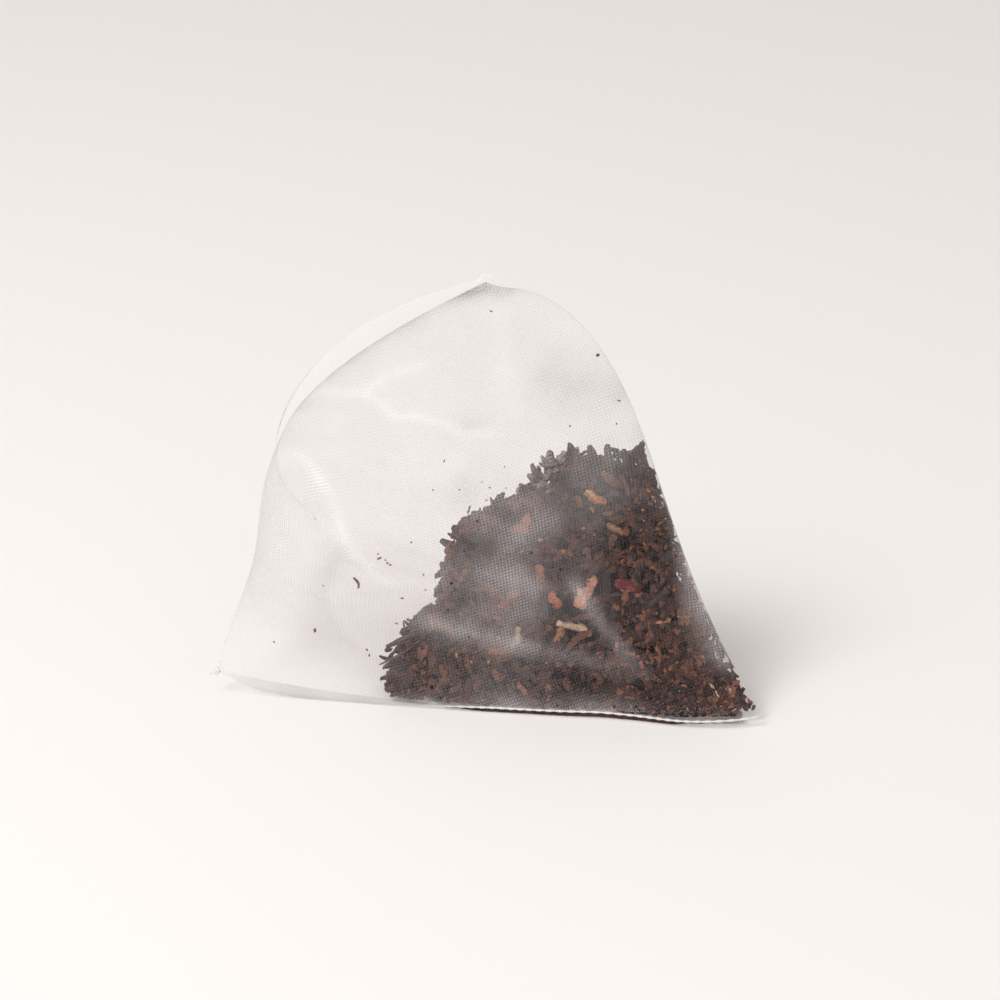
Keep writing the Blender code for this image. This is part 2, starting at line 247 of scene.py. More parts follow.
def tube_faces(rings, sides, count=1):
    """The faces of closed tubes of one make, one after another: quads between their rings, and a cap at each end."""
    base = (np.arange(count) * rings * sides)[:, None]
    quads = (base[..., None] + grid_faces(rings, sides, closed=True)).reshape(-1, 4)
    first, last = np.arange(sides)[::-1], (rings - 1) * sides + np.arange(sides)
    return quads.tolist() + (base + first).tolist() + (base + last).tolist()


def ring(sides):
    """The angles of points spaced evenly round a ring."""
    return np.arange(sides) / sides * 2 * math.pi


def tube(path, side, up, radius, sides):
    """Rings of points round a path, from side through up, at a radius for each ring or for each point."""
    phi = ring(sides)
    return (path[:, None] + side[:, None] * (np.cos(phi) * radius)[..., None]
            + up[:, None] * (np.sin(phi) * radius)[..., None])


# ---- materials ---------------------------------------------------------------------------------------

def thread_cover(tree, inner, outer, glint):
    """The square weave: 1 on a thread and 0 in the gaps, from the weave's own coordinates in threads.

    A thread is full up to inner from its middle and gone at outer. The twist of the yarn catches the light along
    one diagonal, which adds a softer wave across the threads, as high as glint.
    """
    split = add(tree, "ShaderNodeSeparateXYZ", {0: add(tree, "ShaderNodeUVMap", uv_map="weave")})
    threads = []
    for axis in ("X", "Y"):
        part = add(tree, "ShaderNodeMath", {0: split.outputs[axis]}, operation="FRACT")
        off = add(tree, "ShaderNodeMath", {0: part, 1: 0.5}, operation="SUBTRACT")
        off = add(tree, "ShaderNodeMath", {0: off}, operation="ABSOLUTE")
        threads.append(add(tree, "ShaderNodeMapRange", {"Value": off, "From Min": inner, "From Max": outer,
                                                        "To Min": 1.0, "To Max": 0.0},
                           interpolation_type="SMOOTHSTEP"))
    across = add(tree, "ShaderNodeMath", {0: split.outputs["X"], 1: split.outputs["Y"]}, operation="SUBTRACT")
    across = add(tree, "ShaderNodeMath", {0: across, 1: 2 * math.pi}, operation="MULTIPLY")
    wave = add(tree, "ShaderNodeMath", {0: across}, operation="COSINE")
    weave = add(tree, "ShaderNodeMath", {0: threads[0], 1: threads[1]}, operation="MAXIMUM")
    return add(tree, "ShaderNodeMath", {0: wave, 1: glint, 2: weave}, operation="MULTIPLY_ADD")


def with_glance(tree, cover, power, strength):
    """A sheet's cover, higher where it is seen from the side and its threads close up: facing to a power."""
    facing = add(tree, "ShaderNodeLayerWeight", {"Blend": 0.5}).outputs["Facing"]
    glance = add(tree, "ShaderNodeMath", {0: facing, 1: power}, operation="POWER")
    alpha = add(tree, "ShaderNodeMath", {0: glance, 1: strength, 2: cover}, operation="MULTIPLY_ADD")
    return add(tree, "ShaderNodeMath", {0: alpha, 1: 0.97}, operation="MINIMUM")


def mesh_material():
    """Woven nylon mesh, 75 threads to the inch: fine square threads over clear gaps, a white veil over what
    lies behind it. It is denser where the attribute says so, its tone carries painted highlights and painted
    shade, and its outline shows where it turns away.
    """
    material, tree = new_material("Woven nylon mesh")
    # the threads have soft sides, because one is only a pixel wide in the render
    thread = thread_cover(tree, 0.10, 0.30, 0.70)
    dense, tone = (add(tree, "ShaderNodeAttribute", attribute_name=name).outputs["Fac"] for name in ("dense", "tone"))
    # soft clouds some 5 mm wide, where the threads lie closer together
    coords = add(tree, "ShaderNodeTexCoord").outputs["Object"]
    cloud = add(tree, "ShaderNodeTexNoise", {"Vector": coords, "Scale": 190.0, "Detail": 2.0})
    cloud = add(tree, "ShaderNodeMapRange", {"Value": cloud, "From Min": 0.35, "From Max": 0.65,
                                             "To Min": 0.55, "To Max": 1.30})
    veil = add(tree, "ShaderNodeMath", {0: dense, 1: cloud}, operation="MULTIPLY")
    veil = add(tree, "ShaderNodeMath", {0: veil, 1: 0.002}, operation="MAXIMUM")
    # a faint trace of every thread stays where the veil is thinnest
    trace = add(tree, "ShaderNodeMath", {0: thread, 1: 0.0}, operation="MAXIMUM")
    trace = add(tree, "ShaderNodeMath", {0: trace, 1: 0.030}, operation="MULTIPLY")
    weave = add(tree, "ShaderNodeMath", {0: thread, 1: 0.56, 2: 0.80}, operation="MULTIPLY_ADD")
    cover = add(tree, "ShaderNodeMath", {0: veil, 1: weave, 2: trace}, operation="MULTIPLY_ADD")
    cover = add(tree, "ShaderNodeMath", {0: cover, 1: 0.0}, operation="MAXIMUM")
    # painted shade: grey in the hollows; painted highlight: white on the creases that catch the light
    colour = add(tree, "ShaderNodeValToRGB", {0: tone}, ((0.0, "#7c7573"), (0.5, "#e6dcdb"), (1.0, "#ffffff")))
    relief = add(tree, "ShaderNodeBump", {"Height": thread, "Strength": 0.35, "Distance": 0.00006})
    shader = add(tree, "ShaderNodeBsdfPrincipled", {
        "Base Color": colour, "Roughness": 0.38, "Alpha": with_glance(tree, cover, 5.0, 0.60),
        "Sheen Weight": 0.2, "Normal": relief})
    add(tree, "ShaderNodeOutputMaterial", {"Surface": shader})
    return material


def fused_material():
    """Mesh melted together by the heated jaw: clear beige plastic, smoother and glossier than the mesh, with the
    weave still pressed into it.
    """
    material, tree = new_material("Fused mesh")
    thread = thread_cover(tree, 0.14, 0.34, 0.10)
    dense, tone = (add(tree, "ShaderNodeAttribute", attribute_name=name).outputs["Fac"] for name in ("dense", "tone"))
    weave = add(tree, "ShaderNodeMath", {0: thread, 1: 0.12, 2: 0.92}, operation="MULTIPLY_ADD")
    cover = add(tree, "ShaderNodeMath", {0: dense, 1: weave}, operation="MULTIPLY")
    # the dark end gives the front fin's left part a painted shadow along the table
    colour = add(tree, "ShaderNodeValToRGB", {0: tone}, ((0.0, "#8d857d"), (1.0, "#fdfbf8")))
    relief = add(tree, "ShaderNodeBump", {"Height": thread, "Strength": 0.5, "Distance": 0.00008})
    shader = add(tree, "ShaderNodeBsdfPrincipled", {
        "Base Color": colour, "Roughness": 0.28, "Alpha": with_glance(tree, cover, 6.0, 0.12), "Normal": relief})
    add(tree, "ShaderNodeOutputMaterial", {"Surface": shader})
    return material


def leaf_material(name, roughness, bump):
    """Dry leaf: matt, its own colour at each piece, with dark and light flecks 0.3 mm wide and a wrinkled face."""
    material, tree = new_material(name)
    own = add(tree, "ShaderNodeAttribute", attribute_name="leaf").outputs["Color"]
    coords = add(tree, "ShaderNodeTexCoord").outputs["Object"]
    fleck = add(tree, "ShaderNodeTexNoise", {"Vector": coords, "Scale": 3600.0, "Detail": 4.0})
    shade = add(tree, "ShaderNodeMapRange", {"Value": fleck, "From Min": 0.3, "From Max": 0.7,
                                             "To Min": 0.52, "To Max": 1.45})
    colour = add(tree, "ShaderNodeVectorMath", {0: own, 1: shade}, operation="MULTIPLY")
    relief = add(tree, "ShaderNodeBump", {"Height": fleck, "Strength": bump, "Distance": 0.0002})
    shader = add(tree, "ShaderNodeBsdfPrincipled", {"Base Color": colour, "Roughness": roughness,
                                                    "Normal": relief, "Specular IOR Level": 0.28})
    add(tree, "ShaderNodeOutputMaterial", {"Surface": shader})
    return material


def tea_and_shadow_material():
    """Dark tea under the front lip with painted shadow: matt, near black with reddish grains under a millimetre wide.
    """
    material, tree = new_material("Tea and painted shadow under the lip")
    coords = add(tree, "ShaderNodeTexCoord").outputs["Object"]
    grain = add(tree, "ShaderNodeTexNoise", {"Vector": coords, "Scale": 1500.0, "Detail": 3.0})
    colour = add(tree, "ShaderNodeValToRGB", {0: grain}, ((0.35, "#2a1416"), (0.70, "#5a3030")))
    shader = add(tree, "ShaderNodeBsdfPrincipled", {"Base Color": colour, "Roughness": 0.8})
    add(tree, "ShaderNodeOutputMaterial", {"Surface": shader})
    return material


# ---- the mesh bag ------------------------------------------------------------------------------------

COLUMNS, ROWS = 336, 190
BAG_TABLE_GAP = 0.00002
LIP_POINTS = 301


def bag_skin(material):
    """The bag's mesh: rings of points round the skin, drawn out along its normal by the marks on it, with the
    weave's own coordinates measured round it from the middle of the front, and along it from seal to seal.
    """
    angle = math.pi / 2 + np.arange(COLUMNS + 1) / COLUMNS * 2 * math.pi
    t = spread(np.linspace(0, 1, ROWS + 1))[:, None]
    points = skin(angle[None, :], t)
    normal = skin_normal(angle[None, :], np.clip(t, 0.004, 0.996))
    step = np.linalg.norm(np.diff(points, axis=1), axis=-1)
    round_way = np.concatenate((np.zeros((ROWS + 1, 1)), np.cumsum(step, axis=1)), axis=1)
    middle = COLUMNS // 2
    u = (round_way - round_way[:, middle:middle + 1]) / round_way[:, -1:] * 2 * SEAL_LENGTH / PITCH
    climb = np.linalg.norm(np.diff(points, axis=0), axis=-1)
    v = np.concatenate((np.zeros((1, COLUMNS + 1)), np.cumsum(climb, axis=0)), axis=0) / PITCH
    relief, dense, tone = bands(points, angle, t)
    points = points + normal * relief[..., None]
    points[..., 2] = np.maximum(points[..., 2], BAG_TABLE_GAP)
    bag = new_object("woven_mesh", points[:, :-1], grid_faces(ROWS + 1, COLUMNS, closed=True), material)
    # the coordinates are given at each face's corners, because u jumps where the tube closes at the back
    row, column = np.meshgrid(np.arange(ROWS), np.arange(COLUMNS), indexing="ij")
    corners = ((row, column), (row, column + 1), (row + 1, column + 1), (row + 1, column))
    slant = math.radians(WEAVE_SLANT)
    loops = np.stack([np.stack((u[at] * math.cos(slant) + v[at] * math.sin(slant),
                                v[at] * math.cos(slant) - u[at] * math.sin(slant)), -1) for at in corners], axis=2)
    layer = bag.data.uv_layers.new(name="weave")
    layer.data.foreach_set("uv", loops.astype(np.float32).ravel())
    set_attribute(bag, "dense", dense[:, :-1])
    set_attribute(bag, "tone", tone[:, :-1])
    return bag, points


# marks on the skin, each a line through places (angle in degrees, even share from seal to seal), with its half
# width in mm, the cover it adds, its painted light (a highlight above 0, shade below), and how far it stands out in
# mm
MARKS = (
    # creases over the empty part, lighter with painted highlights where they catch the light
    (((172, 0.570), (200, 0.330), (222, 0.192), (238, 0.142), (250, 0.140)), 0.70, 0.05, 0.50, 0.04),
    (((176, 0.842), (196, 0.600), (220, 0.416), (228, 0.406), (246, 0.354), (264, 0.356)), 0.60, 0.07, 0.42, 0.06),
    (((193, 0.608), (205, 0.546), (218, 0.562), (232, 0.532)), 0.80, 0.07, 0.42, 0.08),
    (((256, 0.592), (258, 0.424), (264, 0.364)), 1.20, 0.05, 0.32, 0.06),
    (((256, 0.592), (262, 0.760)), 1.50, 0.04, 0.32, 0.0),
    (((236, 0.330), (252, 0.280)), 2.20, 0.04, 0.25, 0.10),
    (((282, 0.640), (300, 0.500)), 1.80, 0.04, 0.30, 0.0),
    # painted shade: soft grey hollows beside them
    (((217, 0.334), (230, 0.290)), 0.35, 0.04, -0.20, -0.03),
    (((196, 0.430), (214, 0.420)), 0.80, 0.03, -0.12, -0.03),
    (((244, 0.400), (249, 0.330)), 2.20, 0.09, -0.32, -0.08),
    (((242, 0.250), (262, 0.270)), 2.60, 0.07, -0.28, 0.0),
    (((270, 0.520), (280, 0.440), (292, 0.350)), 3.20, 0.08, -0.28, 0.0),
    (((300, 0.440), (312, 0.350)), 2.60, 0.09, -0.30, 0.0),
    (((225, 0.97), (250, 0.870), (275, 0.80), (296, 0.782)), 0.90, 0.10, -0.30, 0.0),
    (((198, 0.150), (210, 0.090)), 1.80, 0.04, -0.16, 0.10),
    # folds of denser weave over the tea, lighter with painted sheen
    (((246, 0.100), (262, 0.086), (283, 0.066), (307, 0.042)), 1.00, 0.15, 0.16, 0.05),
    (((285, 0.156), (292, 0.116), (299, 0.082), (307, 0.046)), 0.80, 0.15, 0.18, 0.06),
    (((250, 0.170), (268, 0.150), (285, 0.124)), 1.70, 0.11, 0.12, 0.04),
    (((262, 0.215), (276, 0.205), (290, 0.215)), 1.50, 0.05, 0.05, 0.0),
    (((330, 0.110), (336, 0.070), (345, 0.045)), 0.80, 0.06, 0.25, 0.0),
    # creases of the back, which is hidden in the photo
    # painted highlights and painted shade along these creases
    (((60, 0.200), (80, 0.420), (110, 0.560)), 0.70, 0.07, 0.40, 0.20),
    (((95, 0.300), (120, 0.380), (150, 0.340)), 0.70, 0.06, 0.40, 0.18),
    (((30, 0.300), (50, 0.500), (70, 0.760)), 0.80, 0.05, -0.30, -0.15),
    (((130, 0.640), (150, 0.520), (164, 0.560)), 0.70, 0.07, 0.35, 0.15),
)


def bands(points, angle, t):
    """How far the skin stands out, how much its threads cover, and how light they are, with painted highlights and
    painted shade: soft bands that follow the bag's sides and seals, and a soft-sided ridge along each of the marks.
    """
    turn = np.cos(angle)[None, :] + 0 * t
    behind = np.sin(angle)[None]
    share = 1 - np.sqrt(np.maximum(1 - t, 0))
    low = rise(t, 0.36, 0.16)
    # plain mesh covers more over the tea, less at the lower left and along the bottom, and less at its lower right
    # as painted shade, where the lit veil fades away from the light
    dense = 0.090 + 0.074 * rise(share, 0.46, 0.30) - 0.130 * rise(turn, -0.30, -0.65) * low
    dense -= 0.155 * rise(turn, 0.02, 0.58) * rise(share, 0.31, 0.17)
    dense *= 1 - 0.62 * rise(share, 0.105, 0.055)
    # the pinched margin at the right
    margin = rise(turn, 0.74, 0.94)
    dense += 0.31 * margin * rise(t, 0.62, 0.32) * rise(share, 0.035, 0.125)
    tone = 0.45 - 0.05 * turn + 0.15 * margin * low
    # the underside is seen through the front, so its weave is faint
    dense *= 1 - 0.65 * rise(behind, 0.2, 0.6) * rise(t, 0.9, 0.5)
    relief = np.zeros(points.shape[:2])
    for places, width, cover, light, ridge in MARKS:
        ends = len(places) - 1
        knots = np.linspace(0, ends, 14 * len(places))
        line = skin(np.radians(np.interp(knots, np.arange(ends + 1), [p[0] for p in places])),
                    spread(np.interp(knots, np.arange(ends + 1), [p[1] for p in places])))
        nearest = np.full(points.shape[:2], 1.0)
        which = np.zeros(points.shape[:2])
        for knot, place in zip(knots, line):
            away = ((points - place) ** 2).sum(-1)
            closer = away < nearest
            nearest[closer] = away[closer]
            which[closer] = knot
        mark = np.exp(-nearest / (width * MM) ** 2) * (0.2 + 0.8 * rise(np.minimum(which, ends - which), 0, 0.7))
        relief += 0.5 * ridge * MM * mark
        dense += cover * mark
        # painted light along the mark: a highlight above 0, shade below
        tone += light * mark
    # a soft light band along the bottom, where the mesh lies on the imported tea
    seal_one = np.linalg.norm(points - points[:1], axis=-1)
    packed = rise(turn, -0.10, 0.15) * rise(turn, 0.66, 0.51) * (behind < 0.1)
    dense += 0.17 * packed * np.exp(-(seal_one / 0.0014) ** 2)
    # the fused ends, and painted shade in the hollow just inside the upper one, which fades out lower down
    dense += (0.10 + 0.10 * rise(turn, 0, 0.3) - 0.17 * rise(turn, 0.4, 0.6)) * np.exp(-seal_one / 0.0005)
    seal_two = np.linalg.norm(points - points[-1:], axis=-1)
    high = rise(points[-1:, :, 2], 0.013, 0.025)
    dense += 0.10 * high * np.exp(-seal_two / 0.0009)
    tone -= 0.34 * high * np.exp(-seal_two / 0.0012)
    return relief * rise(np.minimum(t, 1 - t), 0, 0.08), dense, np.clip(tone, 0, 1)


def front_lip():
    """The first seal's line, the mm across it, and how far its narrow lip stands out and up at each point: it hangs
    to the table at the left, curls a little up over the tea, and opens out at the right.
    """
    line = skin(np.arccos(np.clip(np.linspace(-1, 1, LIP_POINTS), -1, 1)), np.zeros(LIP_POINTS))
    place = line[:, 0] / MM
    width = np.interp(place, (-28.5, -10, 8, 12, 15.6, 20.8, 23.4, 26.3, 28.5),
                      (0.15, 0.4, 0.5, 0.42, 0.65, 1.5, 1.5, 1.25, 0.3))
    hang = np.minimum(1.25, line[:, 2] / MM - 0.06) * rise(place, -5, -9) * rise(place, -28.5, -24.5)
    height = np.interp(place, (-28.5, -6, 0, 12, 20, 28.5), (0.0, 0.0, 0.28, 0.28, -0.12, -0.05)) - hang
    smooth = np.hanning(31) / np.hanning(31).sum()
    width, height = (np.convolve(np.pad(v, 15, mode="edge"), smooth, "valid") * MM for v in (width, height))
    return line, place, np.stack((0 * width, -width, height), -1)


def fin(name, line, outward, width, material, bead, bright, veil, pale):
    """One fin: a strip from the seal to its edge with the weave carried on across it, and the edge itself, a thin
    tube whose radius swells and shrinks along it in beads a millimetre long.
    """
    rows, sides, count = 8, 10, len(line)
    share = np.linspace(0, 1, rows)[:, None]
    points = line[None] + (outward * width[:, None])[None] * share[..., None]
    points[..., 2] = np.maximum(points[..., 2], TABLE_GAP)
    strip = new_object(name, points, grid_faces(rows, count), material)
    run = np.concatenate(((0,), np.cumsum(np.linalg.norm(np.diff(line, axis=0), axis=-1))))
    dense = veil[None] * (1 + 0.15 * np.sin(run * 900)[None] + 0.4 * rise(share, 0.6, 1.0))
    uv = np.stack(np.broadcast_arrays(run[None, :], share * width[None, :]), -1) / PITCH
    lay_weave(strip, uv, dense, pale[None] + 0.10 * share)
    edge = points[-1] + outward * bead * 0.4
    up = unit(np.cross(unit(np.gradient(edge, axis=0)), outward))
    radius = bead * (0.85 + 0.28 * np.sin(run * 2 * math.pi / 0.0011 + 2 * np.sin(run * 400)))
    # the edge swells and whitens where it is brightest; on the upper fin that brightness is a painted highlight
    radius *= np.sqrt(np.clip(bright, 0.2, 1.2)) * np.clip(np.minimum(run, run[-1] - run) / 0.0006, 0.15, 1)
    beaded = tube(edge, outward, up, radius[:, None], sides)
    beaded[..., 2] = np.maximum(beaded[..., 2], TABLE_GAP)
    rim = new_object(name + "_edge", beaded, tube_faces(count, sides), material)
    uv = np.stack(np.broadcast_arrays(run[:, None] / PITCH, ring(sides)[None]), -1)
    lay_weave(rim, uv, np.clip(0.05 + 0.85 * bright, 0, 1)[:, None], 1.0)
    return [strip, rim]


def fins(material):
    """The fused ends: the front one follows the lip and is whitest over the tea, and grey and denser at its left
    with painted shadow; the upper one stands straight out of the second seal, widest low down, and its edge has a
    painted highlight only beside the curved left side.
    """
    line, place, out = front_lip()
    full = rise(place, -8, 0)
    # at the left the front fin hangs to the table, denser and grey: painted shadow under the lifted lip
    veil = 0.10 + 0.30 * full * (1 - 0.62 * rise(place, 14, 19)) + 0.18 * rise(place, -28, -22) * (1 - full)
    made = fin("fin_front", line, unit(out), np.linalg.norm(out, axis=-1), material, 0.00014, 0.03 + 0.85 * full,
               veil, 0.10 + 0.75 * full)
    r = np.linspace(-1, 1, LIP_POINTS)
    line = second_seal(r)
    tangent = unit(second_seal(r + 0.01) - second_seal(r - 0.01))
    outward = line - second_seal(0.0) / 2
    outward = unit(outward - (outward * tangent).sum(-1, keepdims=True) * tangent)
    w = (r + 1) / 2
    width = 0.0005 + 0.0017 * np.sin(math.pi * np.clip(w / 0.72, 0, 1)) ** 1.2
    # painted highlight on the upper fin's edge, beside the curved left side only
    bright = 0.05 + 0.80 * rise(w, 0.43, 0.53) * rise(w, 0.74, 0.66)
    return made + fin("fin_upper", line, outward, width, material, 0.00010, bright, 0.17 + 0 * w, 0.85 + 0 * w)


def tea_and_shadow_under_lip():
    """Dark tea under the front lip, partly dust in the fold and partly painted shadow in the gap beneath it: a thin
    upright ribbon, tallest at its middle, hollowed by a sine and roughened a little.
    """
    rng = np.random.default_rng(12)
    left, right, rows = -4.5, 22.5, 5
    line, place, out = front_lip()
    keep = (place > left) & (place < right)
    top, run = (line + out)[keep], place[keep]
    tall = 0.00042 * rise(run, left, left + 5) * rise(run, right, right - 4)
    share = np.linspace(0, 1, rows)[:, None]
    points = np.repeat(top[None], rows, axis=0)
    points[..., 2] -= 0.00016 + share * tall
    points[..., 1] += 0.00012 - 0.00010 * np.sin(share * math.pi) + rng.normal(0, 0.00001, points.shape[:2])
    points[..., 2] = np.maximum(points[..., 2], 0.00003)
    return new_object("tea_and_shadow_under_lip", points, grid_faces(rows, len(top)), tea_and_shadow_material())


def lumps(name, centres, sizes, axes, stretch, material, seed=3, sides=8, rings=6):
    """Small lumps in one mesh, and their points: balls drawn out along an axis, each with its own dents."""
    rng = np.random.default_rng(seed)
    theta, phi = np.linspace(0.08, math.pi - 0.08, rings)[:, None], ring(sides)
    axes = unit(np.asarray(axes, float))
    side = unit(np.cross(axes, (0.31, 0.52, 0.79)))
    up = np.cross(axes, side)
    ball = np.stack((np.cos(theta) + 0 * phi, np.sin(theta) * np.cos(phi), np.sin(theta) * np.sin(phi)), -1)
    rough = 1 + rng.normal(0, 0.09, (len(centres), rings, sides))
    local = ball[None] * rough[..., None] * np.asarray(sizes)[:, None, None, None]
    local[..., 0] *= np.asarray(stretch)[:, None, None]
    points = (centres[:, None, None] + axes[:, None, None] * local[..., :1] + side[:, None, None] * local[..., 1:2]
              + up[:, None, None] * local[..., 2:3])
    return new_object(name, points, tube_faces(rings, sides, len(centres)), material), points


def melted_ends(material):
    """Beads of melted mesh on the left corner's edge with its thin tail, and the clear flap on the peak."""
    corner = skin(np.full(6, math.pi), spread(np.array((0.0, 0.012, 0.030, 0.052, 0.078, 0.110))))
    tail = corner[0] + np.array((-0.00035, -0.0004, 0.0))
    centres = np.concatenate((tail[None], corner[:5] + np.array((-0.00012, -0.0001, 0))))
    sizes = np.array((0.22, 0.30, 0.16, 0.18, 0.15, 0.14)) * MM
    axes = np.concatenate(((corner[0] - tail)[None], np.gradient(corner, axis=0)[:5]))
    beads, points = lumps("corner_beads", centres, sizes, axes, (3.0, 1.6, 2.2, 1.3, 1.6, 1.3), material)
    lay_weave(beads, points[..., :2] / PITCH, 0.42, 1.0)
    # the flap runs along the seal's top and stands up in a low gable, with a slight wave
    steps = 12
    w, v = np.linspace(0, 1, steps)[:, None], np.linspace(0, 1, steps)[None, :]
    along = unit(second_seal(-1.0) - second_seal(-0.9))
    height = 0.0011 * (1 - np.abs(2 * w - 0.7) / 1.3)
    place = second_seal(-1.0) + along * (w * 0.0028 - 0.0014)[..., None]
    place = place + np.array((0, 0, 1.0)) * (v * height)[..., None]
    place = place + np.array((0.15, -0.95, 0.1)) * (0.00025 * np.sin(3 * w + 2 * v))[..., None]
    flap = new_object("peak_flap", place, grid_faces(steps, steps), material)
    lay_weave(flap, np.stack(np.broadcast_arrays(w * 8, v * 4), -1), 0.10 + 0.20 * v ** 3, 0.75 + 0.25 * v)
    return [beads, flap]


# ---- the larger pieces in the tea --------------------------------------------------------------------

# node, start and end on the skin, radius in mm, how much deeper the end lies in mm, kind, colours at both ends
Piece = namedtuple("Piece", "name start end radius sink kind first last")
PIECES = [Piece(*row) for row in (
    ("petal_gold", (288, 0.248), (295, 0.230), 0.45, 0.0, "petal", "#c9955c", "#a8603c"),
    ("petal_orange_upper", (273, 0.226), (268, 0.206), 0.55, 0.0, "petal", "#a86142", "#84472f"),
    ("petal_orange_middle", (278, 0.162), (278, 0.136), 0.50, 0.0, "petal", "#b06a48", "#84462f"),
    ("petal_orange_lower", (283, 0.130), (284, 0.110), 0.50, 0.0, "petal", "#c47a58", "#8a4634"),
    ("petal_peach", (294, 0.142), (289, 0.112), 0.85, 0.0, "petal", "#dca283", "#c07a5e"),
    ("petal_red", (299, 0.138), (307, 0.126), 0.75, 0.0, "petal", "#6a2a3a", "#8a4030"),
    ("petal_amber", (307, 0.088), (307, 0.068), 0.55, 0.0, "petal", "#cf7d4a", "#a85a38"),
    ("petal_white", (313, 0.086), (312, 0.066), 0.55, 0.0, "petal", "#e6bd92", "#c8703e"),
    ("stalk_cream", (285, 0.096), (294, 0.082), 0.50, 0.0, "stalk", "#cdae94", "#b3937a"),
    ("stalk_pale", (276, 0.092), (275, 0.068), 0.55, 0.0, "stalk", "#c0a48e", "#a58a74"),
    ("stalk_upper", (296, 0.206), (301, 0.190), 0.40, 0.0, "stalk", "#a07a58", "#7d573e"),
    ("curled_leaf", (320, 0.100), (325, 0.074), 0.50, 0.3, "petal", "#b59c86", "#8d7460"),
    ("leaf_rod_peak", (282, 0.318), (284, 0.268), 0.42, 1.2, "rod", "#3c2c26", "#2c201c"),
    ("leaf_rod_shoulder", (273, 0.264), (279, 0.234), 0.50, 1.0, "rod", "#4d4540", "#332823"),
    ("leaf_rod_foot", (246, 0.062), (256, 0.084), 0.35, 0.4, "rod", "#5c4234", "#42291f"),
    ("leaf_rod_flank", (256, 0.200), (266, 0.182), 0.45, 0.8, "rod", "#4b433e", "#2e2420"),
    ("leaf_rod_crown_left", (289, 0.312), (290, 0.262), 0.50, 1.0, "rod", "#453732", "#2c211d"),
    ("leaf_rod_crown_middle", (296, 0.310), (296, 0.260), 0.55, 1.2, "rod", "#4b3b34", "#2c211d"),
    ("leaf_rod_crown_right", (303, 0.304), (303, 0.258), 0.50, 1.0, "rod", "#42342f", "#2c211d"),
)]
FLATNESS = {"petal": 0.62, "stalk": 0.85, "rod": 0.9}
ROD_SHARE = 0.78         # a rolled leaf is this much thinner than its node


def keep_inside(points, centres, bag_tree):
    """Draws points that would reach the mesh back towards their own piece's middle, to a gap inside it. The search
    tree takes one ray at a time.
    """
    gap, least = 0.00016, 0.00002
    moved = points.copy()
    for piece, centre in zip(moved.reshape(len(centres), -1, 3), centres):
        start = Vector(centre)
        for point in piece:
            way = Vector(point) - start
            length = way.length
            if length < 1e-7:
                continue
            hit, _, _, distance = bag_tree.ray_cast(start, way, length + gap * 2)
            if hit is not None and distance < length + gap:
                point[:] = centre + (point - centre) * max(distance - gap, least) / length
    return moved


def larger_piece(piece, material, seed, bag_tree):
    """One larger piece as a finer tube along a bowed path, its section a circle with waves: three and five round a
    petal, which is flat and folded, nine fine grooves along a stalk, four and nine twisted round a rolled leaf.
    """
    rng = np.random.default_rng(seed)
    rings, sides = 20, 22
    share = np.linspace(0, 1, rings)
    angle, t = between(piece.start, piece.end, share)
    normal = skin_normal(angle, t)
    radius = piece.radius * MM
    path = skin(angle, t) - normal * (0.0006 + radius + piece.sink * MM * share)[:, None]
    if piece.kind == "rod":
        radius *= ROD_SHARE
    side = unit(np.cross(np.gradient(path, axis=0), normal))
    sway = rng.uniform(0.25, 0.6) * radius * np.sin(rng.uniform(2.5, 5.5) * share + rng.uniform(0, 3))
    path = path + side * sway[:, None]
    tangent = unit(np.gradient(path, axis=0))
    side = unit(np.cross(tangent, normal))
    wave, down, phi = rng.uniform(0, 6, 3), share[:, None], ring(sides)[None]
    if piece.kind == "petal":
        form = 1 + 0.22 * np.cos(3 * phi + wave[0] + 3 * down) + 0.14 * np.cos(5 * phi + wave[1])
        form = form * (1 + 0.30 * np.sin(9 * down + wave[2]) * np.cos(phi + wave[0]))
    elif piece.kind == "stalk":
        form = 1 + 0.06 * np.cos(9 * phi + wave[0]) + 0.05 * np.sin(2 * phi + 5 * down)
    else:
        form = 1 + 0.13 * np.cos(4 * phi + wave[0] + 5 * down) + 0.07 * np.cos(9 * phi + wave[1])
    form = form * (1 + rng.normal(0, 0.03, (rings, sides))) * (1 - 0.45 * np.abs(2 * down - 1) ** 3) * radius
    points = tube(path, side, np.cross(side, tangent) * FLATNESS[piece.kind], form, sides)
    points = keep_inside(points, [path[rings // 2]], bag_tree)
    thing = new_object(piece.name + "_look", points, tube_faces(rings, sides), material)
    mix = np.clip(down[..., None] + rng.normal(0, 0.08, (rings, sides, 1)), 0, 1)
    paint(thing, np.array(srgb(piece.first)) * (1 - mix) + np.array(srgb(piece.last)) * mix)
    return thing


# ---- the loose tea -----------------------------------------------------------------------------------

# the heap's edge as it shows from the front, in mm across and up that view, and its rounded lower corner
EDGE = np.array((
    (-10.9, 0.2), (-10.7, 2.4), (-10.3, 4.2), (-9.2, 5.2), (-8.6, 7.0), (-7.4, 8.6), (-5.7, 9.6), (-5.0, 11.6),
    (-4.3, 13.8), (-3.4, 16.8), (-1.8, 19.4), (0.2, 20.2), (2.2, 21.1), (4.6, 21.7), (7.2, 22.6), (8.8, 25.2),
    (10.4, 25.6), (11.6, 25.2), (12.9, 26.0), (15.8, 26.2), (17.2, 24.0), (18.6, 20.4), (20.0, 16.4), (29.0, -2.0)))
CORNER = np.array(((-11.2, 2.4), (-10.4, 1.0), (-8.2, 0.2), (-5.0, -3.0)))
VIEW_TURN, VIEW_TILT = 7.69, 29.0   # how far that view is turned and looks down, degrees

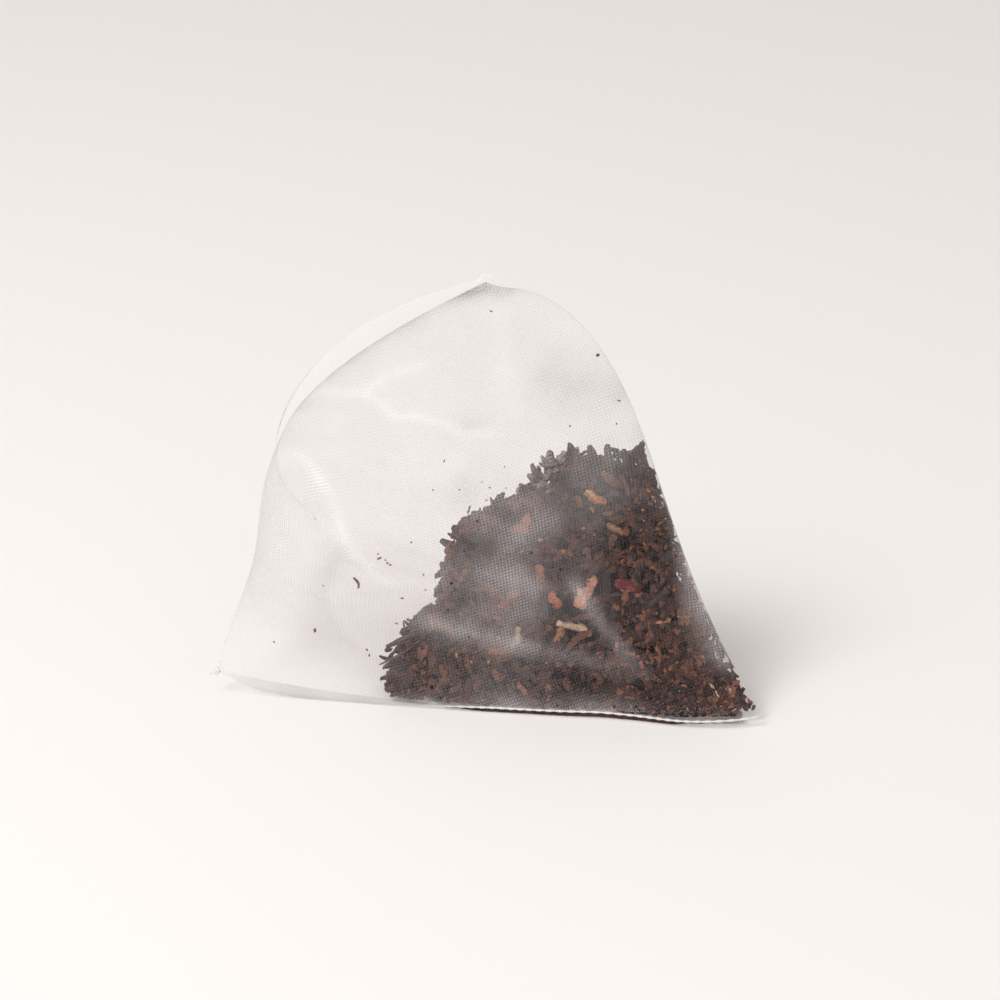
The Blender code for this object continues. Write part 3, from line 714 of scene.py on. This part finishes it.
SLOPE_SPILL = 0.0038     # how far loose leaves reach past the solid heap's slope
TOP_SPILL = 0.0006       # and past its top
LEAF_SPACING = 0.00084   # loose leaves in the heap
TIP_SPACING = 0.00058    # small flat ones in the pinched right end
LIP_SPACING = 0.00030    # and those in the open part of the front lip
LEAF_LAYER = 0.0024      # how deep under the heap's surface leaves are still drawn

LEAF_COLOURS = (("#22120f", 0.16), ("#321a17", 0.19), ("#482720", 0.23), ("#5a352a", 0.17), ("#6c4433", 0.10),
                ("#80503a", 0.04), ("#3a2a2d", 0.06), ("#4e3d36", 0.03), ("#905c46", 0.02))
DUSTY_COLOURS = ("#7f746e", "#8b807a", "#726761", "#978d87")
DUST_COLOURS = (("#2a1a15", 0.34), ("#4a2c20", 0.32), ("#6d4029", 0.17), ("#8c5635", 0.05), ("#a8744c", 0.02),
                ("#3a2a26", 0.10))


def drawn_colours(rng, table, count):
    """Colours for many pieces, drawn from a table of hex colours and how often each one comes."""
    palette = np.array([srgb(colour) for colour, _ in table])
    return palette[rng.choice(len(palette), count, p=[share for _, share in table])]


def slope_axes():
    """The heap's free slope: a point at its foot, and the way out of it."""
    slope, turn = math.radians(HEAP_SLOPE), math.radians(HEAP_TURN)
    level = np.array((-math.cos(turn), math.sin(turn), 0.0))
    out = level * math.sin(slope) + np.array((0.0, 0.0, math.cos(slope)))
    return np.array((SEAL_LENGTH / 2 - HEAP_REACH, 0.0, 0.0)), out


def view_place(points):
    """Places across and up the view from the front, in mm."""
    az, el = math.radians(VIEW_TURN), math.radians(VIEW_TILT)
    right = np.array((math.cos(az), math.sin(az), 0.0))
    up = np.array((-math.sin(az) * math.sin(el), math.cos(az) * math.sin(el), math.cos(el)))
    return points @ right / MM, points @ up / MM


def heap_depth(points):
    """How deep points lie under the heap's surface: under its slope and its flat top, and inside the edge that
    shows from the front, measured square to that edge.
    """
    foot, out = slope_axes()
    under = np.minimum(-(points - foot) @ out + SLOPE_SPILL, HEAP_HEIGHT + TOP_SPILL - points[..., 2])
    across, up = view_place(points)
    before, edge, after = (np.interp(across + step, *EDGE.T) for step in (-0.5, 0.0, 0.5))
    under = np.minimum(under, (up - np.interp(across, *CORNER.T)) * MM)
    return np.minimum(under, (edge - up) / np.sqrt(1 + (after - before) ** 2) * MM)


def wall_tree(points):
    """A search tree of the bag's skin, its faces outwards."""
    faces = grid_faces(points.shape[0], points.shape[1] - 1, closed=True)
    corners = points[:, :-1].reshape(-1, 3)
    quad = corners[faces]
    normal = np.cross(quad[:, 2] - quad[:, 0], quad[:, 3] - quad[:, 1])
    if ((quad.mean(axis=1) - corners.mean(axis=0)) * normal).sum() < 0:
        faces = faces[:, ::-1]
    return BVHTree.FromPolygons(corners.tolist(), faces.tolist())


def thinned(points, cell, rng):
    """One point in each cubic cell, so that they lie evenly."""
    order = rng.permutation(len(points))
    keys = np.floor(points[order] / cell).astype(np.int64)
    _, kept = np.unique(keys @ np.array((1, 10007, 10007 * 10007)), return_index=True)
    return order[kept]


def rolled_leaves(name, centres, axes, faces_out, lengths, widths, flats, colours, seed, material, bag_tree):
    """Many small rolled or broken leaves in one mesh. Each is a bent, tapered tube: rings of points along its
    axis, an oval flattened towards its face, pushed about a little so that no two are alike.
    """
    rng = np.random.default_rng(seed)
    rings, sides, count = 5, 5, len(centres)
    place = np.linspace(-1, 1, rings)
    axes = unit(axes)
    up = unit(faces_out - (faces_out * axes).sum(-1, keepdims=True) * axes)
    side = np.cross(axes, up)
    taper = 1 - 0.42 * np.abs(place[None, :]) ** rng.uniform(3, 9, (count, 1))
    bend = rng.normal(0, 0.09, (count, 1)) * lengths[:, None]
    sway = rng.normal(0, 0.08, (count, 1)) * lengths[:, None]
    turn = rng.uniform(0, math.pi, (count, 1)) + rng.normal(0, 0.8, (count, 1)) * place[None, :]
    body = taper[..., None] * (1 + rng.normal(0, 0.17, (count, rings, sides)))
    around = ring(sides) + turn[..., None]
    wide = np.cos(around) * body * widths[:, None, None] / 2
    high = np.sin(around) * body * (widths * flats)[:, None, None] / 2
    bow = place ** 2 - 0.4
    middle = (centres[:, None] + axes[:, None] * (place * lengths[:, None] / 2)[..., None]
              + up[:, None] * (bend * bow)[..., None] + side[:, None] * (sway * bow)[..., None])
    points = middle[:, :, None] + side[:, None, None] * wide[..., None] + up[:, None, None] * high[..., None]
    points = keep_inside(points, centres, bag_tree)
    points[..., 2] = np.maximum(points[..., 2], TABLE_GAP)
    thing = new_object(name, points, tube_faces(rings, sides, count), material, smooth=False)
    paint(thing, colours)
    return thing


def heap_places(rng, bag_tree):
    """Places for leaves all over the heap, sampled through the bag and kept near the heap's surface, with the way
    out there and whether it is the free slope.
    """
    count = 1100000
    angle = rng.uniform(0, 2 * math.pi, count)
    t = spread(rng.uniform(0.006, 0.60, count))
    wall = skin(angle, t)
    centre = raised_middle(t)
    points = centre + (rng.uniform(0, 1, count) ** 0.45)[:, None] * (wall - centre)
    kept = thinned(points, LEAF_SPACING, rng)
    points, angle, t, wall = (v[kept] for v in (points, angle, t, wall))
    x, y, z = points.T
    under = heap_depth(points) + 0.0006 * np.sin(x * 1900 + 1.3) * np.sin(y * 1700) * np.sin(z * 2100 + 0.7)
    # a third of the outer leaves stick out, which leaves notches in the outline
    inside = under > np.where(rng.uniform(0, 1, len(under)) < 0.33, -0.0006, 0.0001)
    points, under, angle, t, wall = (v[inside] for v in (points, under, angle, t, wall))
    to_wall = np.array([bag_tree.find_nearest(Vector(p))[3] for p in points])
    near = (np.minimum(np.maximum(under, 0), to_wall) < LEAF_LAYER) & (to_wall > 0.00012)
    # the tea stands a little off the right edge, where the mesh is pinched
    near &= np.linalg.norm(points - wall, axis=1) > 0.0007 * rise(np.cos(angle), 0.88, 0.98)
    # nothing lies between the mesh and the larger pieces
    for piece in PIECES:
        for step in np.linspace(0, 1, 5):
            place = between(piece.start, piece.end, step)
            out, offset = skin_normal(*place), skin(*place) - points
            deep = (offset * out).sum(-1)
            beside = np.linalg.norm(offset - deep[:, None] * out, axis=1)
            near &= ~((beside < (piece.radius + 0.32) * MM) & (deep < (0.8 + 2.0 * piece.radius) * MM))
    points, under, angle, t, to_wall = (v[near] for v in (points, under, angle, t, to_wall))
    at_slope = under < to_wall
    normal = np.where(at_slope[:, None], slope_axes()[1], skin_normal(angle, np.clip(t, 0.01, 0.99)))
    return points, normal, at_slope


def tip_places(rng):
    """Places close behind the mesh in the pinched right end, with the way out there."""
    count = 9000
    angle, t = np.radians(rng.uniform(286, 359, count)), spread(rng.uniform(0.010, 0.13, count))
    points = skin(angle, t)
    inward = raised_middle(t) - points
    inward[:, 0] = -0.0006
    length = np.linalg.norm(inward, axis=1)
    points += inward * np.minimum(rng.uniform(0.00022, 0.0006, count) / length, 0.8)[:, None]
    kept = thinned(points, TIP_SPACING, rng)
    off_edge = np.linalg.norm(points - skin(0 * angle, t), axis=1)[kept] > 0.0005
    kept = kept[off_edge & (points[kept, 0] > 0.0125)]
    return points[kept], skin_normal(angle[kept], np.clip(t[kept], 0.01, 0.99))


def lip_places(rng):
    """Places in the open part of the front lip, with the way out there."""
    count = 9000
    line, _, out = front_lip()
    index, share = rng.integers(0, LIP_POINTS, count), rng.uniform(-0.45, 0.46, count)
    points = line[index] + out[index] * share[:, None] - np.array((0, 0, 0.00016))
    kept = thinned(points, LIP_SPACING, rng)
    kept = kept[(points[kept, 0] > 0.0135) & (points[kept, 0] < 0.0262)]
    points[:, 2] = np.maximum(points[:, 2], 0.00018)
    return points[kept], np.repeat(skin_normal(5.2, 0.02)[None], len(kept), axis=0)


def tea(material, bag_tree):
    """The heap: loose leaves all over it, smaller ones in the right end and the lip, a dark core behind them, and
    dusty leaves at the back. Lengths and widths are spread by gamma curves.
    """
    rng = np.random.default_rng(20)
    points, normal, at_slope = heap_places(rng, bag_tree)
    tip, tip_normal = tip_places(rng)
    lip, lip_normal = lip_places(rng)
    small = np.repeat((1.0, 0.62, 0.42), (len(points), len(tip), len(lip)))
    points, normal = np.concatenate((points, tip, lip)), np.concatenate((normal, tip_normal, lip_normal))
    count = len(points)
    at_slope = np.append(at_slope, np.zeros(count - len(at_slope), bool))
    # leaves against the mesh lie flat to it, and those on the slope less so
    axes = rng.normal(0, 1, (count, 3))
    flatten = np.where(at_slope, 0.50, np.where(small < 1, 0.98, 0.90))
    axes -= (axes * normal).sum(-1, keepdims=True) * normal * flatten[:, None]
    lengths = np.clip(rng.gamma(4.0, 0.00036, count), 0.0007, 0.0042) * small
    widths = np.clip(rng.gamma(9.0, 0.000085, count), 0.00035, 0.0012) * (0.3 + 0.7 * small)
    flats = rng.uniform(0.4, 1.0, count) * small
    colours = drawn_colours(rng, LEAF_COLOURS, count) * rng.uniform(0.55, 1.06, (count, 1))
    # two meshes, so that neither has too many triangles
    order = np.argsort(points[:, 2])
    halves = (("loose_leaves_low", order[:count // 2], 31), ("loose_leaves_high", order[count // 2:], 32))
    made = [rolled_leaves(name, points[part], axes[part], normal[part], lengths[part], widths[part], flats[part],
                          colours[part], seed, material, bag_tree) for name, part, seed in halves]
    return made + [core(material), far_leaves(material, bag_tree)]


def far_leaves(material, bag_tree):
    """A thin patch of dusty, paler leaves against the back of the bag, above the heap."""
    rng = np.random.default_rng(77)
    count = 4000
    angle, t = np.radians(rng.uniform(-14, 30, count)), spread(rng.uniform(0.38, 0.53, count))
    normal = skin_normal(angle, t)
    points = skin(angle, t) - normal * rng.uniform(0.0006, 0.0013, count)[:, None]
    across, up = view_place(points)
    top = np.interp(across, (2.4, 4.5, 6.2, 8.0, 9.4), (21.9, 23.6, 25.6, 26.0, 26.6)) + 0.4 * np.sin(across * 4)
    seen = (across > 2.4) & (across < 9.4) & (up < top) & (up > np.interp(across, *EDGE.T) - 1.2)
    points, normal = points[seen], normal[seen]
    kept = thinned(points, 0.0008, rng)
    points, normal = points[kept], normal[kept]
    count = len(points)
    axes = rng.normal(0, 1, (count, 3))
    axes -= (axes * normal).sum(-1, keepdims=True) * normal * 0.95
    lengths, widths = rng.uniform(0.001, 0.0026, count), rng.uniform(0.0005, 0.0010, count)
    flats = rng.uniform(0.5, 1, count)
    colours = np.array([srgb(colour) for colour in DUSTY_COLOURS])[rng.integers(0, 4, count)]
    return rolled_leaves("dusty_leaves_back", points, axes, normal, lengths, widths, flats, colours, 78, material,
                         bag_tree)


def core(material):
    """The heap's dark middle: the bag's form drawn in from its skin, cut off under the slope and under the top."""
    rows, columns = 34, 72
    angle = ring(columns)
    t = spread(np.linspace(0.035, 0.60, rows))[:, None]
    wall, centre = skin(angle[None], t), middle_line(t)
    drawn = wall - skin_normal(angle[None], t) * CORE_DEPTH
    too_far = ((drawn - centre) * (wall - centre)).sum(-1, keepdims=True) < 0
    drawn = np.where(too_far, centre + 0 * drawn, drawn)
    # it stays well clear of the pinched right end, which only leaves fill
    drawn = centre + (drawn - centre) * (1 - 0.36 * rise(np.cos(angle), 0.35, 0.85))[None, :, None]
    shape = bmesh.new()
    verts = [shape.verts.new(point) for point in drawn.reshape(-1, 3)]
    for face in tube_faces(rows, columns):
        shape.faces.new([verts[i] for i in face])
    bmesh.ops.remove_doubles(shape, verts=shape.verts, dist=1e-6)
    bmesh.ops.recalc_face_normals(shape, faces=shape.faces)
    foot, out = slope_axes()
    for place, way in ((foot - out * CORE_DEPTH, out), ((0, 0, HEAP_HEIGHT - CORE_DEPTH), (0, 0, 1))):
        cut = bmesh.ops.bisect_plane(shape, geom=shape.verts[:] + shape.edges[:] + shape.faces[:], plane_co=place,
                                     plane_no=way, clear_outer=True)
        rim = [item for item in cut["geom_cut"] if isinstance(item, bmesh.types.BMEdge)]
        bmesh.ops.edgenet_fill(shape, edges=rim)
    bmesh.ops.triangulate(shape, faces=[face for face in shape.faces if len(face.verts) > 4])
    bmesh.ops.recalc_face_normals(shape, faces=shape.faces)
    shape.verts.index_update()
    points, faces = [vert.co[:] for vert in shape.verts], [[v.index for v in face.verts] for face in shape.faces]
    shape.free()
    thing = new_object("leaf_core", points, faces, material, smooth=False)
    paint(thing, np.array(srgb("#1d1412")))
    return thing


# specks of tea dust on the mesh: angle in degrees, even share, radius in mm
SPECKS = np.array((
    (301, 0.480, 0.22), (254, 0.698, 0.13), (304, 0.386, 0.12), (282, 0.352, 0.14), (226, 0.072, 0.20),
    (242, 0.056, 0.14), (243, 0.050, 0.12), (234, 0.174, 0.13), (235, 0.168, 0.16), (237, 0.166, 0.12),
    (238, 0.162, 0.15), (239, 0.160, 0.13), (242, 0.190, 0.14), (251, 0.132, 0.12), (242, 0.310, 0.12),
    (242, 0.264, 0.11), (250, 0.264, 0.12), (256, 0.276, 0.10), (259, 0.268, 0.13), (259, 0.250, 0.11),
    (264, 0.268, 0.12), (249, 0.150, 0.12), (246, 0.120, 0.14), (247, 0.090, 0.13), (300, 0.345, 0.12),
    (262, 0.300, 0.10), (332, 0.200, 0.11), (222, 0.130, 0.09), (206, 0.240, 0.09), (214, 0.052, 0.10)))
SPECK_SHARE = 0.8        # of the radius above
SPECK_COLOUR = "#8c5635"  # of all but the first


def dust(material):
    """Dust: specks on the inside of the mesh, fine grains all over the heap's front, and a row caught in the seal."""
    rng = np.random.default_rng(41)
    grains, seam = 1500, 170
    angle, share = np.radians(rng.uniform(246, 336, grains)), rng.uniform(0.012, 0.31, grains)
    places = skin(angle, spread(share))
    clear = heap_depth(places) > 0.0004
    for piece in PIECES:
        for step in (0.0, 0.5, 1.0):
            at = skin(*between(piece.start, piece.end, step))
            clear &= np.linalg.norm(places - at, axis=1) > (piece.radius + 0.8) * MM
    caught = 2 * math.pi - np.arccos(rng.uniform(-0.34, 0.90, seam))
    angle = np.concatenate((np.radians(SPECKS[:, 0]), angle[clear], caught))
    t = np.concatenate((spread(SPECKS[:, 1]), spread(share[clear]), np.full(seam, 0.012)))
    size = np.concatenate((SPECKS[:, 2] * SPECK_SHARE, rng.uniform(0.10, 0.24, clear.sum()),
                           rng.uniform(0.14, 0.26, seam))) * MM
    place = skin(angle, t) - skin_normal(angle, np.clip(t, 0.008, 0.99)) * (size + 0.0001)[:, None]
    place[:, 2] = np.maximum(place[:, 2], 0.0003)
    total = len(angle)
    colours = drawn_colours(rng, DUST_COLOURS, total)
    colours[1:len(SPECKS)] = np.array(srgb(SPECK_COLOUR)) * 0.8
    thing, _ = lumps("dust", place, size, rng.normal(0, 1, (total, 3)), rng.uniform(1, 2.2, total), material, 5, 6, 5)
    paint(thing, colours)
    return thing


# thin sticks and hairs: both ends as angle in degrees and even share, radius in mm, colour
STICKS = (((230, 0.142), (233, 0.128), 0.14, "#6b4a38"), ((254, 0.152), (258, 0.138), 0.07, "#6b4a38"),
          ((246, 0.040), (254, 0.074), 0.14, "#5a4034"), ((281.5, 0.325), (285, 0.284), 0.26, "#4a3630"),
          ((270, 0.266), (276, 0.238), 0.36, "#4a4039"), ((328, 0.036), (330, 0.016), 0.20, "#b79a7c"),
          ((332, 0.146), (342, 0.082), 0.045, "#c9bdb0"), ((330, 0.170), (344, 0.110), 0.04, "#c9bdb0"),
          ((255, 0.214), (260, 0.206), 0.34, "#50443f"), ((256, 0.232), (262, 0.222), 0.34, "#4e443f"),
          ((300, 0.268), (303, 0.240), 0.20, "#5b4436"), ((266, 0.110), (272, 0.100), 0.20, "#8b674b"),
          ((249, 0.096), (254, 0.084), 0.20, "#4e3a30"), ((310, 0.160), (318, 0.150), 0.20, "#7d5a40"))


def sticks(material):
    """Thin stalks and hairs against the mesh, each a tube along a line with a slight bow."""
    rng = np.random.default_rng(8)
    rings, sides = 12, 8
    share = np.linspace(0, 1, rings)
    tubes = []
    for start, end, radius, _ in STICKS:
        angle, t = between(start, end, share)
        angle = angle + math.radians(0.8) * np.sin(math.pi * share)
        path = skin(angle, t) - skin_normal(angle, t) * (radius + 0.12) * MM
        tangent = unit(np.gradient(path, axis=0))
        side = unit(np.cross(tangent, (0.2, 0.9, 0.3)))
        thick = radius * MM * (1 - 0.5 * np.abs(2 * share - 1) ** 5) * rng.uniform(0.88, 1.12, rings)
        tubes.append(tube(path, side, np.cross(side, tangent), thick[:, None], sides))
    thing = new_object("thin_sticks", np.array(tubes), tube_faces(rings, sides, len(STICKS)), material)
    paint(thing, np.array([srgb(colour) for *_, colour in STICKS]))
    return thing


# ---- stage -------------------------------------------------------------------------------------------

AZIMUTH, ELEVATION = 7.69, 27.0     # the photo's view, degrees
DISTANCE = 0.350                    # from the camera to the first seal's middle
SCALE = 9580.0                      # the photo's pixels in a metre there
SEAL_AT = (487.85, 707.23)          # the photo's pixel at the first seal's middle
PHOTO_SIDE, SENSOR = 1000, 36       # the photo's side in pixels, and the camera's sensor in mm

FLOOR_TOP = -0.00005                # just under the table's height, so that nothing fights with it
BACKDROP, BEND = 0.55, 0.25         # where the floor turns up, and the radius of its bend
STUDIO_LIGHT, STUDIO_STRENGTH = (1.0, 0.992, 0.985, 1.0), 0.605   # a trace warmer than white
# each lamp's place, size in metres and power in watts
LAMPS = (("Key", (-0.30, -0.31, 0.50), 0.32, 2.36), ("Fill", (0.5, -0.6, 0.5), 0.6, 0.5))


def camera():
    """The photo's view: from the right of the first seal's middle, looking down, aimed so that the seal's middle
    falls on its pixel.
    """
    az, el = math.radians(AZIMUTH), math.radians(ELEVATION)
    back = np.array((math.sin(az) * math.cos(el), -math.cos(az) * math.cos(el), math.sin(el)))
    right = np.array((math.cos(az), math.sin(az), 0.0))
    up = np.cross(back, right)
    focal = SCALE * DISTANCE
    look = -back + right * ((PHOTO_SIDE / 2 - SEAL_AT[0]) / focal) + up * ((SEAL_AT[1] - PHOTO_SIDE / 2) / focal)
    lens = bpy.data.cameras.new("Camera")
    lens.sensor_width = SENSOR
    lens.lens = focal / PHOTO_SIDE * SENSOR
    lens.clip_start = 0.01
    thing = bpy.data.objects.new("Camera", lens)
    thing.location = back * DISTANCE - ORIGIN
    thing.rotation_euler = Vector(look).to_track_quat("-Z", "Y").to_euler()
    bpy.context.scene.collection.objects.link(thing)
    bpy.context.scene.camera = thing


def stage():
    """A pale floor that runs up into a backdrop, and soft light from the upper left."""
    material, tree = new_material("Floor")
    shader = add(tree, "ShaderNodeBsdfPrincipled", {"Base Color": srgb("#f6f2ef"), "Roughness": 0.9})
    add(tree, "ShaderNodeOutputMaterial", {"Surface": shader})
    bend = np.linspace(0, math.pi / 2, 16)[1:]
    profile = [(-1.2, 0.0), (BACKDROP, 0.0)]
    profile += [(BACKDROP + BEND * math.sin(a), BEND - BEND * math.cos(a)) for a in bend]
    profile.append((BACKDROP + BEND, 1.6))
    points = np.array([[(side, y, z + FLOOR_TOP) for side in (-1.6, 1.6)] for y, z in profile]) + ORIGIN
    new_object("floor", points, grid_faces(len(profile), 2), material)
    world = bpy.data.worlds.new("Studio")
    bpy.context.scene.world = world
    world.use_nodes = True
    world.node_tree.nodes["Background"].inputs["Color"].default_value = STUDIO_LIGHT
    world.node_tree.nodes["Background"].inputs["Strength"].default_value = STUDIO_STRENGTH
    for name, place, size, power in LAMPS:
        lamp = bpy.data.lights.new(name, "AREA")
        lamp.size = size
        lamp.energy = power
        light = bpy.data.objects.new(name, lamp)
        light.location = place
        light.rotation_euler = (-Vector(place)).to_track_quat("-Z", "Y").to_euler()
        bpy.context.scene.collection.objects.link(light)


def main():
    """Builds the looks on the frame."""
    fused = fused_material()
    leaf = leaf_material("Rolled tea leaf", 0.6, 0.3)
    petal = leaf_material("Dry petal", 0.6, 0.2)
    stalk = leaf_material("Dry stalk", 0.7, 0.2)
    bag, points = bag_skin(mesh_material())
    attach(bag, "root")
    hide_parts("mesh_bag")
    for piece in fins(fused) + melted_ends(fused):
        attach(piece, "root")
    bag_tree = wall_tree(points)
    for piece in tea(leaf, bag_tree):
        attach(piece, "root")
        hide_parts("tea_leaves")
    for piece in (dust(leaf), sticks(stalk), tea_and_shadow_under_lip()):
        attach(piece, "root")
    kinds = {"petal": ("petal", petal), "stalk": ("stalk", stalk), "rod": ("tea", leaf)}
    for index, row in enumerate(PIECES):
        slot, material = kinds[row.kind]
        piece = larger_piece(row, material, 60 + index, bag_tree)
        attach(piece, "root")
        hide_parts(row.name)
    stage()
    camera()
    bpy.context.scene.view_settings.view_transform = "Standard"


main()
